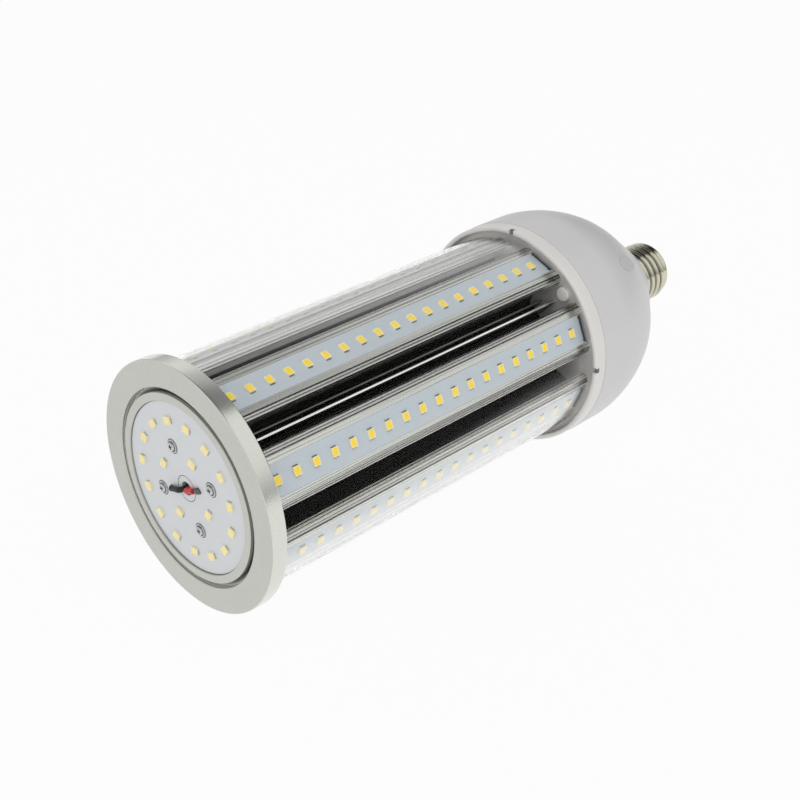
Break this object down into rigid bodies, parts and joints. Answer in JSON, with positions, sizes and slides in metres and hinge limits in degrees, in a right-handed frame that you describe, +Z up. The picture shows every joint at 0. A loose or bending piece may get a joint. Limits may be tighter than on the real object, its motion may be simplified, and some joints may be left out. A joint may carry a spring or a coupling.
{
  "type": "corn led bulb",
  "caption": "Long lamp with strips of light chips round a finned heat sink in a clear tube, a lit flat end, a domed driver housing and a screw cap.",
  "frame": {"origin": "on the lamp's axis at the neck plane, where the screw cap leaves the driver housing", "axes": "+X along the lamp's axis, out of the screw cap; +Z up as the lamp lies on its side; +Y completes the frame"},
  "size_m": [0.2676, 0.0934, 0.0934],
  "materials": {
    "satin_aluminium": "satin",
    "extruded_aluminium": "as extruded",
    "white_board": "matt solder mask on aluminium core",
    "light_chip": "yellow phosphor in a cream body",
    "black_wire": "matt sleeve",
    "red_wire": "matt sleeve",
    "clear_tube": "clear, polished",
    "housing_plastic": "smooth moulded",
    "driver_laminate": "laminate",
    "terminal_plastic": "moulded",
    "transformer_wrap": "tape wrap",
    "device_black": "moulded",
    "film_capacitor": "moulded box",
    "can_sleeve": "sleeved can",
    "plated_shell": "bright plated",
    "cap_insulator": "moulded",
    "cap_contact": "plated"
  },
  "bodies": {
    "root": {"end_cap": "satin_aluminium", "end_board": "white_board", "end_chips": "light_chip", "black_lead": "black_wire", "red_lead": "red_wire", "clear_tube": "clear_tube", "heat_sink": "extruded_aluminium", "collar": "housing_plastic", "driver_housing": "housing_plastic", "driver_board": "driver_laminate", "output_block": "terminal_plastic", "supply_block": "terminal_plastic", "transformer": "transformer_wrap", "choke": "transformer_wrap", "rectifier": "device_black", "power_transistor": "device_black", "input_capacitor": "film_capacitor", "output_capacitor": "can_sleeve", "live_lead": "red_wire", "neutral_lead": "black_wire", "screw_shell": "plated_shell", "cap_insulator": "cap_insulator", "cap_contact": "cap_contact", "strip_board_1": "white_board", "strip_chips_1": "light_chip", "strip_board_2": "white_board", "strip_chips_2": "light_chip", "strip_board_3": "white_board", "strip_chips_3": "light_chip", "strip_board_4": "white_board", "strip_chips_4": "light_chip", "strip_board_5": "white_board", "strip_chips_5": "light_chip", "strip_board_6": "white_board", "strip_chips_6": "light_chip", "strip_board_7": "white_board", "strip_chips_7": "light_chip", "strip_board_8": "white_board", "strip_chips_8": "light_chip"}
  },
  "joints": []
}
